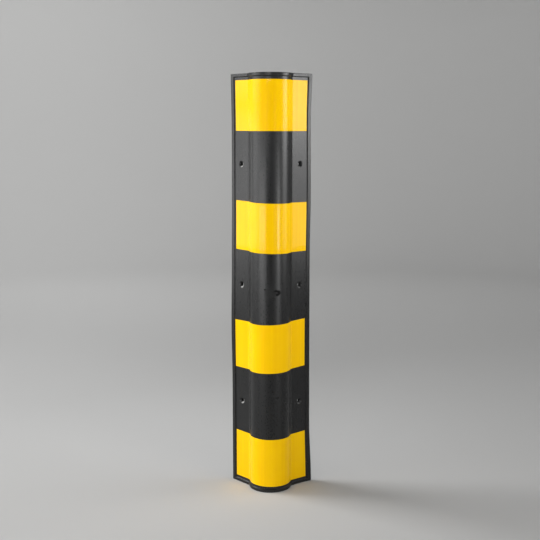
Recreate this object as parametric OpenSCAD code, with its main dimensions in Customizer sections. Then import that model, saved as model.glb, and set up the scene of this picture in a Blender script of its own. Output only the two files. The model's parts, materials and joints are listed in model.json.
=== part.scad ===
// Rubber corner guard with reflective film bands, in millimetres.
// The wall's corner runs up the Z axis from the origin, and the wall fills +X, +Y.
// One flange lies on the wall face y = 0 and one on the wall face x = 0.
// The round nose points to -X, -Y, and the guard stands on its lower end at z = 0.

/* [Body] */
// Length of the guard along the wall's corner
guard_length = 800; // [700:10:1200]
// Width of each flange on the wall, from the wall's corner
flange_width = 100; // [90:1:130]
// Thickness of the flanges in the field between the rims
field_thickness = 7; // [5:0.5:9]
// Rise of the rim above the field
rim_rise = 2; // [1:0.5:3]
// Width of the rim along the long edges
rim_width_side = 9; // [6:0.5:12]
// Width of the rim at the upper and lower ends
rim_width_end = 6; // [4:0.5:10]
// Rounding of the flanges' outer long edges
edge_round = 2; // [1:0.5:3]

/* [Nose] */
// Outer radius of the nose, on the field
nose_radius = 39.5; // [38:0.5:44]
// Distance of the nose's centre line from both wall faces
nose_inset = 22.5; // [20:0.5:24]
// Thickness of the rubber around the nose
nose_wall = 6.5; // [5:0.5:7]
// Radius of the valley between the nose and a flange, on the field
valley_radius = 14; // [6:1:20]
// Rounding of the edge where the hollow of the nose meets a flange's back
hollow_round = 3; // [1:0.5:5]

/* [Screw holes] */
// Diameter of the screw holes
screw_diameter = 6.5; // [5:0.5:8]
// Diameter of the countersinks on the field
countersink_diameter = 12; // [10:0.5:14]
// Depth of the countersinks
countersink_depth = 3; // [2:0.5:4]
// Distance of the screw holes from a flange's long edge
screw_edge_distance = 28; // [24:1:32]
// Distance of the outer screw holes from the guard's ends
screw_end_distance = 168.5; // [150:0.5:180]

/* [Reflective films] */
// Height of a film band
film_height = 94; // [70:1:100]
// Thickness of the film
film_thickness = 0.4; // [0.3:0.1:0.8]
// Gap between a film's ends and the side rims
film_side_gap = 3; // [2.5:0.5:6]
// Gap between the lowest film and the lower rim
film_gap_bottom = 5.4; // [2:0.2:10]
// Gap between the highest film and the upper rim
film_gap_top = 6.4; // [2:0.2:10]
// How far each film was laid above its even place, lowest film first
film_shift = [0, -2.4, 0.3, 0]; // [-4:0.1:4]
// Slant of each film in degrees, right end up, lowest film first
film_slant = [-0.4, 1.3, -1.4, -0.2]; // [-2:0.1:2]
// How far each film was laid sideways, towards the flange on y = 0, lowest film first
film_slide = [-0.5, -1.4, 1.1, 0.8]; // [-2:0.1:2]

/* [Hidden] */
rim_thickness = field_thickness + rim_rise;
hollow_radius = nose_radius - nose_wall;
film_count = len(film_shift);
first_film = rim_width_end + film_gap_bottom + film_height / 2;
last_film = guard_length - rim_width_end - film_gap_top - film_height / 2;
film_reach = flange_width - rim_width_side - film_side_gap;
screw_heights = [screw_end_distance, guard_length / 2, guard_length - screw_end_distance];
// What a cutting shape reaches past the solid that it cuts
overcut = 1;
$fn = 96;

function film_centre(i) =
    first_film + i * (last_film - first_film) / (film_count - 1) + film_shift[i];

// Where a circle that lies on the line y = -depth, outside it, touches a circle about the nose
function touching_x(radius, depth) =
    nose_inset + sqrt(pow(radius, 2) - pow(nose_inset + depth, 2));

// Repeats a shape of the flange on y = 0 for the flange on x = 0
module both_flanges() {
    children();
    mirror([1, -1, 0]) children();
}

// Fills the valley between the nose and a flange of the given thickness, from inside them out
module valley_fill(thickness, radius, valley) {
    centre = [touching_x(radius + valley, thickness + valley), -thickness - valley];
    nose = [nose_inset, nose_inset];
    touch = nose + (centre - nose) * radius / (radius + valley);
    difference() {
        polygon([[centre[0], 0], centre, touch, nose]);
        translate(centre) circle(r = valley);
    }
}

// Half of what lies behind the front surface at a rise above the field, on the side of y = 0
module front_half(rise) {
    thickness = field_thickness + rise;
    radius = nose_radius + rise;
    translate([nose_inset, nose_inset]) circle(r = radius);
    translate([nose_inset, -thickness]) square([flange_width - nose_inset, thickness]);
    valley_fill(thickness, radius, valley_radius - rise);
}

// The rim's strip along a flange's long edge
module side_rim() {
    both_flanges() translate([flange_width - rim_width_side, -rim_thickness])
        square([rim_width_side, rim_thickness]);
}

// What rounds a flange's outer long edge when it is cut away
module edge_cut() {
    both_flanges() translate([flange_width - edge_round, -rim_thickness + edge_round])
        difference() {
            translate([0, -edge_round - overcut]) square(edge_round + overcut);
            circle(r = edge_round);
        }
}

// What rounds the edge between the hollow of the nose and a flange's back
module hollow_edge_cut() {
    centre = [touching_x(hollow_radius + hollow_round, hollow_round), -hollow_round];
    nose = [nose_inset, nose_inset];
    touch = nose + (centre - nose) * hollow_radius / (hollow_radius + hollow_round);
    both_flanges() difference() {
        polygon([[centre[0], 0], centre, touch, nose]);
        translate(centre) circle(r = hollow_round);
    }
}

// The wall and the hollow between it and the nose
module wall_side() {
    square(flange_width + overcut);
    translate([nose_inset, nose_inset]) circle(r = hollow_radius);
    hollow_edge_cut();
}

// The guard's section between its end rims
module field_section() {
    difference() {
        union() {
            both_flanges() front_half(0);
            side_rim();
        }
        edge_cut();
        wall_side();
    }
}

// The guard's section in its end rims
module rim_section() {
    difference() {
        both_flanges() front_half(rim_rise);
        edge_cut();
        wall_side();
    }
}

// A screw hole with its countersink, drilled from the back of the flange on y = 0
module screw_hole() {
    spread = (countersink_diameter - screw_diameter) / 2 / countersink_depth;
    rotate([90, 0, 0]) {
        translate([0, 0, -overcut]) cylinder(h = field_thickness + 2 * overcut, d = screw_diameter);
        translate([0, 0, field_thickness - countersink_depth])
            cylinder(
                h = countersink_depth + overcut,
                d1 = screw_diameter,
                d2 = countersink_diameter + 2 * overcut * spread
            );
    }
}

// One moulded piece of black rubber
module guard_body() {
    color("#2b2c2d") difference() {
        union() {
            linear_extrude(guard_length) field_section();
            linear_extrude(rim_width_end) rim_section();
            translate([0, 0, guard_length - rim_width_end])
                linear_extrude(rim_width_end) rim_section();
        }
        both_flanges() for (z = screw_heights)
            translate([flange_width - screw_edge_distance, 0, z]) screw_hole();
    }
}

// The film from the diagonal of the nose to its end on the flange on y = 0
module film_half(reach) {
    linear_extrude(guard_length) difference() {
        front_half(film_thickness);
        front_half(0);
        wall_side();
        translate([reach, -rim_thickness]) square([flange_width, rim_thickness]);
        polygon([for (p = [[-1, -1], [1, 1], [-1, 1]]) p * flange_width]);
    }
}

// One band of yellow film, bonded across the field from flange to flange
module reflective_film(i) {
    color("#fbd509") intersection() {
        union() {
            film_half(film_reach + film_slide[i]);
            mirror([1, -1, 0]) film_half(film_reach - film_slide[i]);
        }
        translate([0, 0, film_centre(i)]) rotate(-film_slant[i], [1, 1, 0])
            cube([3 * flange_width, 3 * flange_width, film_height], center = true);
    }
}

guard_body();
for (i = [0:film_count - 1])
    reflective_film(i);
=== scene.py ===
import json
import math
import bmesh
import bpy
from mathutils import Matrix, Vector

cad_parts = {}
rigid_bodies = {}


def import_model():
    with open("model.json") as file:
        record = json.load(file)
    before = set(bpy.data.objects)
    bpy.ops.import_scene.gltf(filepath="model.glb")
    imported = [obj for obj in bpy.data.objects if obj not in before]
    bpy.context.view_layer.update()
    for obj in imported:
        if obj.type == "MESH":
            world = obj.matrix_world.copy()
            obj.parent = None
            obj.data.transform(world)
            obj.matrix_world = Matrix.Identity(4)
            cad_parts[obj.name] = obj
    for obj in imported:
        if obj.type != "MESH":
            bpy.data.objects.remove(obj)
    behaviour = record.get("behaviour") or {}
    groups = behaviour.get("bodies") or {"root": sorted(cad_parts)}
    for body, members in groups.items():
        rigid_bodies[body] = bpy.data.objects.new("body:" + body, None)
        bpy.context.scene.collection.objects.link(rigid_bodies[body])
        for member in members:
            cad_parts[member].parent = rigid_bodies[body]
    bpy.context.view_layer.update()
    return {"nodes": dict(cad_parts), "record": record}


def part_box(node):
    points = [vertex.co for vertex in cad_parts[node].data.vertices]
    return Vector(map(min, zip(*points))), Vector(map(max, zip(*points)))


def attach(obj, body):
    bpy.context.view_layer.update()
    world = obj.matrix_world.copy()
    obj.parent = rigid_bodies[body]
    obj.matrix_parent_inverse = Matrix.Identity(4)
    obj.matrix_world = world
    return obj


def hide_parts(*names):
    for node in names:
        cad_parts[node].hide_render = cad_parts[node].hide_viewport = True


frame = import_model()
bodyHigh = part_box("guard_body")[1]
mounts = {mount["name"]: mount for mount in frame["record"]["mounts"]}
lowerScrews = mounts["lower_screws_flange_x"]
upperScrews = mounts["upper_screws_flange_x"]
print("frame loaded:", ", ".join(sorted(frame["nodes"])))

# Lengths are in metres. The wall's corner runs up Z from the origin, one flange lies on the wall
# face y = 0 and one on x = 0, and the nose points to -X, -Y.

guard = {
    "length": bodyHigh.z,
    "flangeWidth": bodyHigh.x,
    "fieldThickness": 0.007,
    "rimRise": 0.002,
    "rimWidthSide": 0.009,
    "rimWidthEnd": 0.006,
    "edgeRound": 0.002,
    "noseRadius": 0.0395,
    "noseInset": 0.0225,
    "noseWall": 0.0065,
    "valleyRadius": 0.014,
    "hollowRound": 0.003,
    "stepSlope": 0.0006,      # how far the foot of the rim's step stands in from its top
    "stepRound": 0.0007,
    "stepRoundSteps": 3,
    "sharpAngle": 35,         # degrees from which an edge is rounded
    "noseSteps": 20,
    "valleySteps": 8,
    "hollowSteps": 14,
    "roundSteps": 4,
    "levelPitch": 0.025,      # height of one row of faces
    "levelPitchLow": 0.010,   # the same where the lower end flares
    "lowEnd": 0.12,           # the height that the flare ends below
}

# How far each flange's long edge bends out from the wall, as (height, distance) pairs
bend = {
    "flangeX": (
        (0.0, 0.0062), (0.13, 0.0), (0.30, -0.0010), (0.47, -0.0014), (0.56, 0.0006), (0.72, -0.0008),
        (0.80, 0.0026)),
    "flangeY": (
        (0.0, 0.0), (0.2, 0.0), (0.32, 0.0019), (0.45, 0.0), (0.56, -0.0012), (0.70, -0.0018),
        (0.80, 0.0)),
}

up = Vector((0, 0, 1))
diagonal = Vector((-1, -1, 0)).normalized()
noseCentre = Vector((guard["noseInset"], guard["noseInset"], 0))
rimThickness = guard["fieldThickness"] + guard["rimRise"]
screwPlace = lowerScrews["pos_m"][0]     # distance of the screw holes from the wall's corner
screwPitch = lowerScrews["dims"]["spacing_y_mm"] / 1000
cutTolerance = 1e-7
mergeDistance = 2e-6


def ease(t):
    return t * t * (3 - 2 * t)


# The value at a height on a smooth curve through (height, value) pairs
def alongKnots(knots, height):
    last = knots[0]
    for knot in knots[1:]:
        if height < knot[0]:
            share = max(0, (height - last[0]) / (knot[0] - last[0]))
            return last[1] + (knot[1] - last[1]) * ease(share)
        last = knot
    return last[1]


# X at which a circle about the nose's centre meets the line y = -depth. The centre of a round between
# the nose and a flange lies there, a round's radius away from both
def touchingX(radius, depth):
    return guard["noseInset"] + math.sqrt(radius ** 2 - (guard["noseInset"] + depth) ** 2)


def angleFrom(centre, point):
    return math.atan2(point.y - centre.y, point.x - centre.x)


valleyDepth = guard["fieldThickness"] + guard["valleyRadius"]
valleyX = touchingX(guard["noseRadius"] + guard["valleyRadius"], valleyDepth)
valleyCentre = Vector((valleyX, -valleyDepth, 0))


def vertsOf(items):
    return [item for item in items if isinstance(item, bmesh.types.BMVert)]


def allOf(bm):
    return bm.verts[:] + bm.edges[:] + bm.faces[:]


def openEdges(bm):
    return sum(not edge.is_manifold for edge in bm.edges)


# Spins a vertex about an upright axis and gives the last vertex of the arc
def arc(bm, vert, centre, angle, steps):
    made = bmesh.ops.spin(bm, geom=[vert], cent=centre, axis=up, angle=angle, steps=steps)
    return made["geom_last"][0]


# Draws straight runs on from a vertex and gives the last one
def runs(bm, vert, points):
    for point in points:
        vert = bmesh.ops.extrude_vert_indiv(bm, verts=[vert])["verts"][0]
        vert.co = point
    return vert


# The front of the flange on y = 0, from the middle of the nose to the given distances from the corner
def frontHalf(bm, rise, reaches):
    start = bm.verts.new(noseCentre + diagonal * (guard["noseRadius"] + rise))
    toValley = angleFrom(noseCentre, valleyCentre)
    vert = arc(bm, start, noseCentre, toValley - angleFrom(noseCentre, start.co), guard["noseSteps"])
    toNose = angleFrom(valleyCentre, noseCentre)
    vert = arc(bm, vert, valleyCentre, math.pi / 2 - toNose, guard["valleySteps"])
    depth = -guard["fieldThickness"] - rise
    return runs(bm, vert, [(x, depth, 0) for x in reaches])


# Repeats all of a mesh on the other side of the plane between the flanges
def bothFlanges(bm):
    turned = Matrix.Rotation(math.radians(45), 4, "Z")
    bmesh.ops.mirror(bm, geom=allOf(bm), matrix=turned, merge_dist=0, axis="X")
    bmesh.ops.remove_doubles(bm, verts=bm.verts[:], dist=mergeDistance)


# Moves what an extrusion has made at the lower end up to the upper end
def toUpperEnd(bm, made):
    bmesh.ops.translate(bm, verts=vertsOf(made["geom"]), vec=up * guard["length"])


def cutAt(bm, point, normal, clearAbove=False, clearBelow=False):
    bmesh.ops.bisect_plane(
        bm, geom=allOf(bm), dist=cutTolerance, plane_co=point, plane_no=normal,
        clear_outer=clearAbove, clear_inner=clearBelow)


# Heights at which every long surface is cut, so that the guard's own bends show in it
def bendLevels():
    levels = []
    height = 0.0
    while height < guard["length"]:
        levels.append(height)
        height += guard["levelPitchLow"] if height < guard["lowEnd"] else guard["levelPitch"]
    return levels[1:]


# Bends the flanges as the real guard's have bent
def bendFlanges(bm):
    hinge = valleyCentre.x
    reach = guard["flangeWidth"] - hinge
    for vert in bm.verts:
        x, y, z = vert.co
        if x > hinge and x > y:
            vert.co.y -= alongKnots(bend["flangeX"], z) * ((x - hinge) / reach) ** 2
        elif y > hinge:
            vert.co.x -= alongKnots(bend["flangeY"], z) * ((y - hinge) / reach) ** 2


def roundEdges(bm, edges, width, steps):
    bmesh.ops.bevel(
        bm, geom=edges, offset=width, offset_type="OFFSET", segments=steps, profile=0.5,
        affect="EDGES", clamp_overlap=True, material=-1)


def newObject(name, data):
    made = bpy.data.objects.new(name, data)
    bpy.context.scene.collection.objects.link(made)
    return made


# Makes an object of a finished bmesh, smooth and in one material
def meshObject(name, bm, material):
    bmesh.ops.recalc_face_normals(bm, faces=bm.faces[:])
    for face in bm.faces:
        face.smooth = True
    mesh = bpy.data.meshes.new(name)
    bm.to_mesh(mesh)
    bm.free()
    mesh.materials.append(material)
    return newObject(name, mesh)


def piece(name, bm, material, slot, *nodes):
    made = meshObject(name, bm, material)
    shading = made.modifiers.new("evenShading", "WEIGHTED_NORMAL")
    shading.keep_sharp = True
    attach(made, "root")
    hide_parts(*nodes)
    return made


# A socket of a node tree, which takes part in sums and products as a number does
class Flow:
    def __init__(self, tree, socket=None):
        self.tree = tree
        self.socket = socket

    # Adds any node, from its type, its settings and what its sockets are given, and goes on from it
    def node(self, kind, settings=(), inputs=(), output=0):
        made = self.tree.nodes.new(kind)
        for name, value in dict(settings).items():
            setattr(made, name, value)
        for name, value in dict(inputs).items():
            if isinstance(value, Flow):
                self.tree.links.new(value.socket, made.inputs[name])
            else:
                made.inputs[name].default_value = value
        return Flow(self.tree, made.outputs[output] if made.outputs else None)

    def maths(self, operation, first, second=0.0):
        return self.node("ShaderNodeMath", {"operation": operation}, {0: first, 1: second})

    def __add__(self, other):
        return self.maths("ADD", self, other)

    def __sub__(self, other):
        return self.maths("SUBTRACT", self, other)

    def __rsub__(self, other):
        return self.maths("SUBTRACT", other, self)

    def __mul__(self, other):
        return self.maths("MULTIPLY", self, other)

    __radd__ = __add__
    __rmul__ = __mul__

    def larger(self, other):
        return self.maths("MAXIMUM", self, other)

    def smaller(self, other):
        return self.maths("MINIMUM", self, other)

    # A pattern of 0 to 1 made to swing about zero
    def swing(self, width):
        return (self - 0.5) * width

    def part(self, axis):
        return self.node("ShaderNodeSeparateXYZ", (), {"Vector": self}, axis)

    # 0 at the first limit and past it, 1 at the second and past it, and an even curve between
    def rising(self, first, second):
        ends = {"Value": self, "From Min": first, "From Max": second}
        return self.node("ShaderNodeMapRange", {"interpolation_type": "SMOOTHSTEP"}, ends)

    def noise(self, scale, stretch=(1, 1, 1), detail=3.0, roughness=0.5):
        placed = self.node("ShaderNodeMapping", (), {"Vector": self, "Scale": stretch})
        values = {"Vector": placed, "Scale": scale, "Detail": detail, "Roughness": roughness}
        return self.node("ShaderNodeTexNoise", (), values)

    # Goes by numbers, because a mix node's number, vector and colour sockets have the same names
    def mixed(self, first, second):
        inputs = {0: self}
        for number, colour in ((6, first), (7, second)):
            inputs[number] = colour if isinstance(colour, Flow) else (*colour, 1)
        return self.node("ShaderNodeMix", {"data_type": "RGBA"}, inputs, 2)

    def bumped(self, distance):
        values = {"Height": self, "Distance": distance, "Strength": 1.0}
        return self.node("ShaderNodeBump", (), values, "Normal")


def newMaterial(name):
    material = bpy.data.materials.new(name)
    material.use_nodes = True
    material.node_tree.nodes.clear()
    return material, Flow(material.node_tree)


def objectPlace(start):
    return start.node("ShaderNodeTexCoord", output="Object")


def finishMaterial(start, values):
    shader = start.node("ShaderNodeBsdfPrincipled", (), values)
    start.node("ShaderNodeOutputMaterial", (), {"Surface": shader})


rubber = {
    "black": (0.0095, 0.0097, 0.0099),
    "gloss": 0.325,               # specular level
    "streaks": {"scale": 420, "stretch": (1, 1, 0.02), "detail": 2.0},
    "clouds": {"scale": 14, "stretch": (1, 1, 0.35), "detail": 5.0, "roughness": 0.6},
    "specks": {"scale": 420, "stretch": (1, 1, 0.6), "detail": 3.0, "roughness": 0.6},
    "grain": {"scale": 2600, "detail": 2.0},
    "roughness": 0.30,
    "streakSheen": 0.12,          # how far each pattern makes the roughness swing
    "cloudSheen": 0.10,
    "speckSheen": 0.20,
    "bumpHeight": 0.00010,
    "streakRelief": 0.4,          # each pattern's share in the bumps
    "grainRelief": 0.3,
    "speckRelief": 0.3,
    "hazy": (0.030, 0.030, 0.029),   # under the thin dust that lies all over it
    "hazeShare": 0.12,
    "hazeLimits": (0.35, 0.75),   # how dense the clouds are where the haze begins and where it is full
    "streakHaze": 0.4,
    "speckHaze": 0.6,
    "scuffed": (0.0060, 0.0058, 0.0058),
    "scuffRoughness": 0.42,
    "gougeDepth": 0.0010,
    "gougeMetallic": 0.6,         # takes the sheen off the torn rubber
}

# Painted highlight: a pale patch in the lower half of each countersink, on the side of the nose,
# standing in for light from above that falls there; the left flange's countersinks get the most of it
holeGlint = {
    "colour": (0.32, 0.32, 0.31),
    "roughness": 0.4,             # added to the rubber's
    "grains": {"scale": 900, "detail": 4.0, "roughness": 0.65},
    "grainLimits": (0.25, 0.7),
    "thinnest": 0.45,             # how strong the painted highlight is between the grains, and how much stronger at them
    "grainShare": 0.9,
    "radii": (0.0064, 0.0058),    # from the hole's middle to where it begins and where it is full
    "towardsNose": 0.75,          # the direction from the hole's middle in which it lies
    "downwards": 0.65,
    "slideLimits": (0.0008, 0.0028),     # how far that way it begins and is full
    "depthLimits": (-0.0020, -0.0035),   # from the wall's face outwards
    "flangeLimits": (-0.02, 0.02),       # across the nose, from the right flange to the left
    "rightShare": 0.13,           # how much of the painted highlight the right flange's countersinks get
}

# Scuffs on the nose, in metres: across from its middle, height, half width, half height, degrees that
# the right end is turned up, and how much each one dulls and gouges the rubber
scuffs = {
    "dullPatch": (0.0030, 0.3925, 0.0140, 0.0100, 0, 0.75, 0.0),
    "patchDot": (-0.0087, 0.3985, 0.0018, 0.0018, 0, 0.9, 0.5),
    "patchFoot": (0.0069, 0.3825, 0.0050, 0.0020, -15, 0.8, 0.3),
    "hookTop": (0.0126, 0.3954, 0.0052, 0.0022, -8, 1.0, 0.9),
    "hookEnd": (0.0174, 0.3928, 0.0042, 0.0030, -53, 1.0, 1.0),
    "hookFoot": (0.0154, 0.3888, 0.0046, 0.0026, 27, 1.0, 1.0),
    "lowDot": (0.0058, 0.2000, 0.0018, 0.0020, 0, 1.0, 0.7),
    "lowSmear": (0.0079, 0.1945, 0.0032, 0.0016, -20, 0.8, 0.3),
    "lowScratch": (0.0148, 0.1874, 0.0048, 0.0014, 25, 0.9, 0.6),
    "lowFoot": (0.0085, 0.1770, 0.0048, 0.0016, 15, 0.8, 0.3),
}

scuffBorder = {
    "halfDepth": 0.005,           # of the space that a scuff takes up, through the rubber's skin
    "raggedness": 1.2,
    "limits": (1.15, 0.65),       # where it begins and where it is full, as shares of its half size
}


# 1 inside a scuff and 0 away from it, with a ragged border
def scuffMask(where, ragged, across, height, halfWidth, halfHeight, turn):
    inward = noseCentre.length - math.sqrt(guard["noseRadius"] ** 2 - across ** 2)
    rightwards = Vector((1, -1, 0)).normalized()
    placed = where.node("ShaderNodeMapping", {"vector_type": "TEXTURE"}, {
        "Vector": where,
        "Location": rightwards * across - diagonal * inward + up * height,
        "Rotation": (0, math.radians(-turn), math.radians(-45)),
        "Scale": (halfWidth, scuffBorder["halfDepth"], halfHeight),
    })
    reach = where.node("ShaderNodeVectorMath", {"operation": "LENGTH"}, {0: placed}, "Value")
    return (reach + ragged.swing(scuffBorder["raggedness"])).rising(*scuffBorder["limits"])


# How much painted highlight a place gets, where light from above falls into the countersinks
def paintedHoleGlint(where):
    x = where.part("X")
    y = where.part("Y")
    above = where.part("Z") - guard["length"] / 2
    above = above - above.maths("ROUND", above * (1 / screwPitch)) * screwPitch
    toNose = screwPlace - x.larger(y)
    outerRadius, innerRadius = holeGlint["radii"]
    inside = (toNose * toNose + above * above).rising(outerRadius ** 2, innerRadius ** 2)
    slid = (toNose * holeGlint["towardsNose"] - above * holeGlint["downwards"]).rising(*holeGlint["slideLimits"])
    inFront = x.smaller(y).rising(*holeGlint["depthLimits"])
    side = (y - x).rising(*holeGlint["flangeLimits"]) * (1 - holeGlint["rightShare"]) + holeGlint["rightShare"]
    grains = where.noise(**holeGlint["grains"]).rising(*holeGlint["grainLimits"])
    return inside * slid * inFront * side * (holeGlint["thinnest"] + grains * holeGlint["grainShare"])


def blackRubber():
    material, start = newMaterial("blackRubber")
    where = objectPlace(start)
    streaks = where.noise(**rubber["streaks"])
    clouds = where.noise(**rubber["clouds"])
    specks = where.noise(**rubber["specks"])
    grain = where.noise(**rubber["grain"])
    dulled = 0.0
    gouged = 0.0
    for *shape, dulling, gouging in scuffs.values():
        mask = scuffMask(where, specks, *shape)
        dulled = (mask * dulling).larger(dulled)
        gouged = (mask * gouging).larger(gouged)
    haze = streaks * rubber["streakHaze"] + specks * rubber["speckHaze"]
    haze = clouds.rising(*rubber["hazeLimits"]) * haze * rubber["hazeShare"]
    # painted highlight in the countersinks, in place of light from above
    glintMask = paintedHoleGlint(where)
    skin = glintMask.mixed(haze.mixed(rubber["black"], rubber["hazy"]), holeGlint["colour"])
    sheen = rubber["roughness"] + streaks.swing(rubber["streakSheen"])
    sheen = sheen + clouds.swing(rubber["cloudSheen"]) + specks.swing(rubber["speckSheen"])
    relief = streaks * rubber["streakRelief"] + grain * rubber["grainRelief"]
    relief = (relief + specks * rubber["speckRelief"]) * rubber["bumpHeight"]
    finishMaterial(start, {
        "Base Color": dulled.mixed(skin, rubber["scuffed"]),
        "Roughness": sheen + dulled * rubber["scuffRoughness"] + glintMask * holeGlint["roughness"],
        "Metallic": gouged * rubber["gougeMetallic"],
        "Specular IOR Level": rubber["gloss"],
        "Normal": (relief - gouged * rubber["gougeDepth"]).bumped(1.0),      # in metres already
    })
    return material


film = {
    "yellow": (0.935, 0.560, 0.001),
    "yellowWorn": (0.89, 0.500, 0.002),
    "gloss": 0.095,               # specular level
    "streaks": {"scale": 210, "stretch": (1, 1, 0.008), "detail": 3.0},
    "clouds": {"scale": 18, "detail": 4.0},
    "wearLimits": (0.3, 0.7),
    "streakWear": 0.6,
    "cloudWear": 0.4,
    "roughness": 0.12,
    "streakSheen": 0.08,          # how far each pattern makes the roughness swing
    "cloudSheen": 0.06,
    "bumpHeight": 0.00009,
    "streakRelief": 0.95,         # each pattern's share in the bumps
    "cloudRelief": 0.05,
}


def yellowFilm():
    material, start = newMaterial("yellowFilm")
    where = objectPlace(start)
    streaks = where.noise(**film["streaks"])
    clouds = where.noise(**film["clouds"])
    worn = (streaks * film["streakWear"] + clouds * film["cloudWear"]).rising(*film["wearLimits"])
    sheen = film["roughness"] + clouds.swing(film["cloudSheen"]) + streaks.swing(film["streakSheen"])
    relief = streaks * film["streakRelief"] + clouds * film["cloudRelief"]
    finishMaterial(start, {
        "Base Color": worn.mixed(film["yellow"], film["yellowWorn"]),
        "Roughness": sheen,
        "Specular IOR Level": film["gloss"],
        "Normal": relief.bumped(film["bumpHeight"]),
    })
    return material


holes = {
    "patch": 0.010,            # half of the square of flange that holds a hole
    "patchInset": 0.0015,
    "sides": 40,               # points round a hole, and round the square's opening
    # the hole's outline from the field to the back, as (radius, depth) pairs
    "outline": (
        (0.0065, 0.0), (0.0062, 0.00005), (0.0060, 0.00014), (0.0042, 0.00122), (0.0039, 0.0015),
        (0.0036, 0.0021), (0.0034, 0.0027), (0.00325, 0.0034), (0.0027, 0.0067), (0.0029, 0.0070)),
}


# The screw holes' heights: one at each end of the two patterns, and the one that they share
def holeHeights():
    lower = lowerScrews["pos_m"][2]
    upper = upperScrews["pos_m"][2]
    return [lower - screwPitch / 2, (lower + upper) / 2, upper + screwPitch / 2]


def nearestFace(bm, point):
    return min(bm.faces, key=lambda face: (face.calc_center_median() - point).length)


# Opens a square face, with as many points round the opening as a hole has sides, and gives its edges
def openPatch(bm, face):
    bmesh.ops.inset_individual(bm, faces=[face], thickness=holes["patchInset"], use_even_offset=True)
    bmesh.ops.subdivide_edges(bm, edges=face.edges[:], cuts=holes["sides"] // 4 - 1)
    edges = face.edges[:]
    bmesh.ops.delete(bm, geom=[face], context="FACES_ONLY")
    return edges


# Draws a loop of edges out to a new one and gives the new loop's edges and vertices
def nextLoop(bm, edges):
    made = bmesh.ops.extrude_edge_only(bm, edges=edges)["geom"]
    return [item for item in made if isinstance(item, bmesh.types.BMEdge)], vertsOf(made)


# Opens a flange at its front and its back and draws a screw hole's wall between the two openings
def drillHole(bm, along, height):
    across = Vector((1, 1, 0)) - along
    back = along * screwPlace + up * height
    front = back - across * guard["fieldThickness"]
    openPatch(bm, nearestFace(bm, back))
    edges = openPatch(bm, nearestFace(bm, front))
    for radius, depth in holes["outline"]:
        edges, verts = nextLoop(bm, edges)
        for vert in verts:
            outward = vert.co - front
            outward -= across * outward.dot(across)
            vert.co = front + across * depth + outward.normalized() * radius
    # the last loop goes back to the square's outline and joins the opening in the flange's back
    half = holes["patch"] - holes["patchInset"]
    edges, verts = nextLoop(bm, edges)
    for vert in verts:
        outward = vert.co - back
        vert.co = back + outward * half / max(abs(outward.dot(along)), abs(outward.z))
        vert.co -= across * (vert.co - back).dot(across)
    bmesh.ops.remove_doubles(bm, verts=bm.verts[:], dist=mergeDistance)


# The closed outline of the guard's section, with the rim's rise all over its front
def bodySection(bm):
    width = guard["flangeWidth"]
    patchStart = screwPlace - holes["patch"]
    patchEnd = screwPlace + holes["patch"]
    rimStart = width - guard["rimWidthSide"]
    roundStart = width - guard["edgeRound"]
    vert = frontHalf(bm, guard["rimRise"], (patchStart, patchEnd, rimStart, roundStart))
    corner = Vector((roundStart, guard["edgeRound"] - rimThickness, 0))
    vert = arc(bm, vert, corner, math.pi / 2, guard["roundSteps"])
    # the back, which goes into the hollow of the nose over a small round edge
    hollowRadius = guard["noseRadius"] - guard["noseWall"]
    hollowX = touchingX(hollowRadius + guard["hollowRound"], guard["hollowRound"])
    hollowEdge = Vector((hollowX, -guard["hollowRound"], 0))
    vert = runs(bm, vert, [(x, 0, 0) for x in (width, patchEnd, patchStart, hollowX)])
    toNose = angleFrom(hollowEdge, noseCentre)
    vert = arc(bm, vert, hollowEdge, toNose - math.pi / 2, guard["roundSteps"])
    toMiddle = angleFrom(noseCentre, noseCentre + diagonal)
    arc(bm, vert, noseCentre, toMiddle - angleFrom(noseCentre, hollowEdge), guard["hollowSteps"])
    bothFlanges(bm)


# Heights at which the body is cut: at its end rims, beside each screw hole, and for its bends
def bodyLevels():
    patches = [(height - holes["patch"], height + holes["patch"]) for height in holeHeights()]
    levels = [guard["rimWidthEnd"], guard["length"] - guard["rimWidthEnd"]]
    levels += [end for patch in patches for end in patch]
    leastGap = guard["levelPitchLow"] / 3
    for level in bendLevels():
        inPatch = any(low < level < high for low, high in patches)
        if not inPatch and all(abs(level - other) > leastGap for other in levels):
            levels.append(level)
    return levels


# The faces of the front between the rims
def fieldFaces(bm):
    step = guard["flangeWidth"] - guard["rimWidthSide"]
    found = []
    for face in bm.faces:
        middle = face.calc_center_median()
        facesFront = face.normal.dot(diagonal) > 0.1      # not so the ends and the flanges' edges
        inHeight = guard["rimWidthEnd"] < middle.z < guard["length"] - guard["rimWidthEnd"]
        if facesFront and inHeight and max(middle.x, middle.y) < step:
            found.append(face)
    return found


def sharpEdges(bm):
    least = math.radians(guard["sharpAngle"])
    return [edge for edge in bm.edges if edge.is_manifold and abs(edge.calc_face_angle()) > least]


def guardBody():
    bm = bmesh.new()
    bodySection(bm)
    face = bmesh.ops.contextual_create(bm, geom=bm.edges[:])["faces"][0]
    toUpperEnd(bm, bmesh.ops.extrude_face_region(bm, geom=[face]))
    bmesh.ops.recalc_face_normals(bm, faces=bm.faces[:])
    for level in bodyLevels():
        cutAt(bm, up * level, up)
    bm.normal_update()
    bmesh.ops.inset_region(
        bm, faces=fieldFaces(bm), thickness=guard["stepSlope"], depth=-guard["rimRise"],
        use_boundary=True, use_even_offset=True)
    bm.normal_update()
    roundEdges(bm, sharpEdges(bm), guard["stepRound"], guard["stepRoundSteps"])
    for along in (Vector((1, 0, 0)), Vector((0, 1, 0))):
        for height in holeHeights():
            drillHole(bm, along, height)
    bendFlanges(bm)
    print("guard body:", len(bm.faces), "faces,", openEdges(bm), "open edges")
    return piece("guardMoulding", bm, blackRubber(), "black_rubber", "guard_body")


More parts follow.
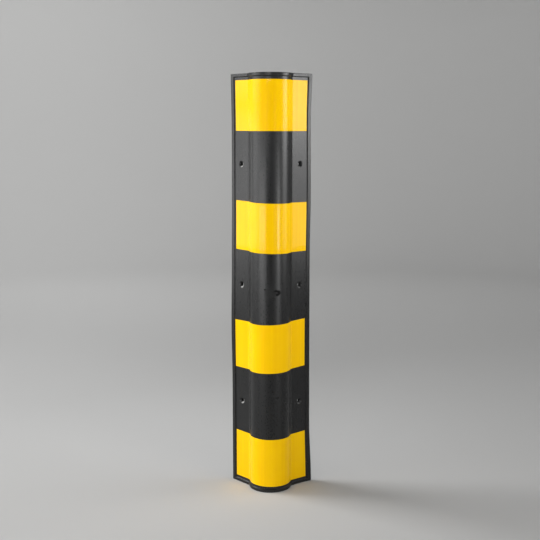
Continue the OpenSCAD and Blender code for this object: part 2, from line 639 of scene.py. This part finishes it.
filmBands = {
    "height": 0.094,
    "thickness": 0.0004,
    "slants": (-0.4, 1.3, -1.4, -0.2),   # degrees, right end up, lowest film first
}


def reflectiveFilm(number, slant, material):
    node = f"reflective_film_{number}"
    low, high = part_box(node)
    bm = bmesh.new()
    frontHalf(bm, filmBands["thickness"], (high.y,))
    bothFlanges(bm)
    # the film was laid a little sideways, so its ends go to the frame's box
    ends = sorted(bm.verts, key=lambda vert: vert.co.x - vert.co.y)
    ends[-1].co.x = high.x
    ends[0].co.y = high.y
    toUpperEnd(bm, bmesh.ops.extrude_edge_only(bm, edges=bm.edges[:]))
    for level in bendLevels():
        if low.z < level < high.z:
            cutAt(bm, up * level, up)
    normal = Matrix.Rotation(math.radians(-slant), 3, Vector((1, 1, 0))) @ up
    middle = up * (low.z + high.z) / 2
    half = normal * filmBands["height"] / 2
    cutAt(bm, middle + half, normal, clearAbove=True)
    cutAt(bm, middle - half, normal, clearBelow=True)
    bmesh.ops.recalc_face_normals(bm, faces=bm.faces[:])
    if sum(face.normal.dot(diagonal) for face in bm.faces) < 0:
        bmesh.ops.reverse_faces(bm, faces=bm.faces[:])
    bmesh.ops.solidify(bm, geom=bm.faces[:], thickness=filmBands["thickness"])
    bendFlanges(bm)
    print("film", number, len(bm.faces), "faces", openEdges(bm), "open edges")
    return piece(f"yellowFilm{number}", bm, material, "reflective_film", node)


studio = {
    "lens": 63.7,              # millimetres, and so is the sensor's width
    "sensorWidth": 36,
    "distance": 1.840,         # level distance from the camera to the line between the flanges' edges
    "sideways": -0.0018,
    "height": 0.7038,
    "tilt": 8.603,             # degrees down
    "turn": 2.258,             # degrees that the guard is turned from facing the camera
}

flangeEdges = Vector((1, 1, 0)) * (guard["flangeWidth"] - rimThickness) / 2
ahead = Matrix.Rotation(math.radians(studio["turn"]), 3, "Z") @ -diagonal
rightward = Vector((ahead.y, -ahead.x, 0))


# A point round the object: degrees to the right of the camera, level distance and height
def studioPoint(degrees, distance, height):
    angle = math.radians(degrees)
    outward = rightward * math.sin(angle) - ahead * math.cos(angle)
    return flangeEdges + outward * distance + up * height


# Puts a camera or a lamp at a point and turns it to look in a direction
def place(looker, point, direction):
    looker.location = point
    looker.rotation_mode = "QUATERNION"
    looker.rotation_quaternion = direction.to_track_quat("-Z", "Y")


def makeCamera():
    data = bpy.data.cameras.new("photoCamera")
    data.lens = studio["lens"]
    data.sensor_width = studio["sensorWidth"]
    camera = newObject("photoCamera", data)
    point = studioPoint(0, studio["distance"], studio["height"]) + rightward * studio["sideways"]
    tilt = math.radians(studio["tilt"])
    place(camera, point, ahead * math.cos(tilt) - up * math.sin(tilt))
    bpy.context.scene.camera = camera


# Softboxes round the object: degrees to the right of the camera, distance, height, width, length
# upwards, radiance, and the distance and height of the point that it faces on its own side
softboxes = {
    "leftKey": (-82, 2.2, 1.2, 2.3, 0.8, 1.03, 0, 1.2),
    "leftWall": (-82, 2.2, 0.45, 2.3, 0.6, 1.05, 0, 0.45),
    "leftBack": (-125, 2.2, 0.45, 0.57, 0.6, 0.39, 0, 0.45),
    "frontLeftLow": (-42, 2.2, 0.3, 1.5, 0.34, 2.59, 0, 0.3),
    "frontLeft": (-30, 2.25, 0.6, 1.7, 0.4, 0.27, 0, 0.6),
    "front": (-8, 2.25, 1.35, 0.8, 0.8, 2.20, 0, 1.35),
    "frontRight": (25, 2.25, 0.45, 0.6, 0.6, 0.37, 0, 0.45),
    "frontRightLow": (45, 2.2, 0.3, 0.58, 0.34, 3.54, 0, 0.3),
    "rightNear": (84, 0.9, 0.8, 0.52, 0.3, 2.20, 0, 0.8),
    "rightNearLow": (83, 0.9, 0.5, 0.5, 0.3, 0.89, 0, 0.5),
    "highLeft": (-108, 2.2, 2.0, 1.3, 1.0, 3.00, 0, 0.4),
    "highRight": (105, 2.2, 1.9, 1.2, 0.9, 0.60, 0, 0.4),
    "wallLeft": (-152, 2.0, 1.8, 1.4, 1.2, 5.0, 4, 0.4),
    "wallRight": (152, 2.0, 1.8, 1.4, 1.2, 1.5, 4, 0.4),
    "wallFrontLeft": (-52, 2.3, 2.2, 2.4, 1.2, 2.0, 4.1, 0.8),
    "wallFrontRight": (52, 2.3, 2.2, 2.4, 1.2, 2.0, 4.1, 0.8),
}
softboxSpread = 90             # degrees, of those that face the object


def makeLamps():
    for name, values in softboxes.items():
        degrees, distance, height, width, tall, radiance, aimDistance, aimHeight = values
        data = bpy.data.lights.new(name, "AREA")
        data.shape = "RECTANGLE"
        data.size = width
        data.size_y = tall
        data.energy = radiance * math.pi * width * tall      # watts
        if aimDistance == 0:
            data.spread = math.radians(softboxSpread)
        lamp = newObject(name, data)
        point = studioPoint(degrees, distance, height)
        place(lamp, point, studioPoint(degrees, aimDistance, aimHeight) - point)
        lamp.visible_camera = False


backdrop = {
    "floorRadius": 2.9,
    "bendRadius": 1.2,
    "height": 4.5,
    "bendSteps": 12,
    "turnSteps": 96,
    "mergeDistance": 1e-5,
    "colour": (0.62, 0.62, 0.615),
    "roughness": 0.9,
}


# A round floor that curves up into a wall all round
def makeBackdrop():
    material, start = newMaterial("paleBackdrop")
    finishMaterial(start, {"Base Color": (*backdrop["colour"], 1), "Roughness": backdrop["roughness"]})
    floorRadius = backdrop["floorRadius"]
    bendRadius = backdrop["bendRadius"]
    bm = bmesh.new()
    vert = runs(bm, bm.verts.new((0, 0, 0)), [(floorRadius, 0, 0)])
    made = bmesh.ops.spin(
        bm, geom=[vert], cent=(floorRadius, 0, bendRadius), axis=(0, -1, 0), angle=math.pi / 2,
        steps=backdrop["bendSteps"])
    runs(bm, made["geom_last"][0], [(floorRadius + bendRadius, 0, backdrop["height"])])
    bmesh.ops.spin(
        bm, geom=allOf(bm), cent=(0, 0, 0), axis=up, angle=math.pi * 2,
        steps=backdrop["turnSteps"], use_merge=True)
    bmesh.ops.remove_doubles(bm, verts=bm.verts[:], dist=backdrop["mergeDistance"])
    meshObject("floor", bm, material)


# A dark world, because the softboxes give all the light
def makeWorld():
    world = bpy.data.worlds.new("studioAir")
    world.use_nodes = True
    world.node_tree.nodes.clear()
    start = Flow(world.node_tree)
    dark = start.node("ShaderNodeBackground", (), {"Strength": 0.0})
    start.node("ShaderNodeOutputWorld", (), {"Surface": dark})
    bpy.context.scene.world = world


makeCamera()
makeLamps()
makeBackdrop()
makeWorld()
print("studio ready")
guardBody()
filmMaterial = yellowFilm()
for number, slant in enumerate(filmBands["slants"], 1):
    reflectiveFilm(number, slant, filmMaterial)
bpy.context.scene.view_settings.view_transform = "Standard"
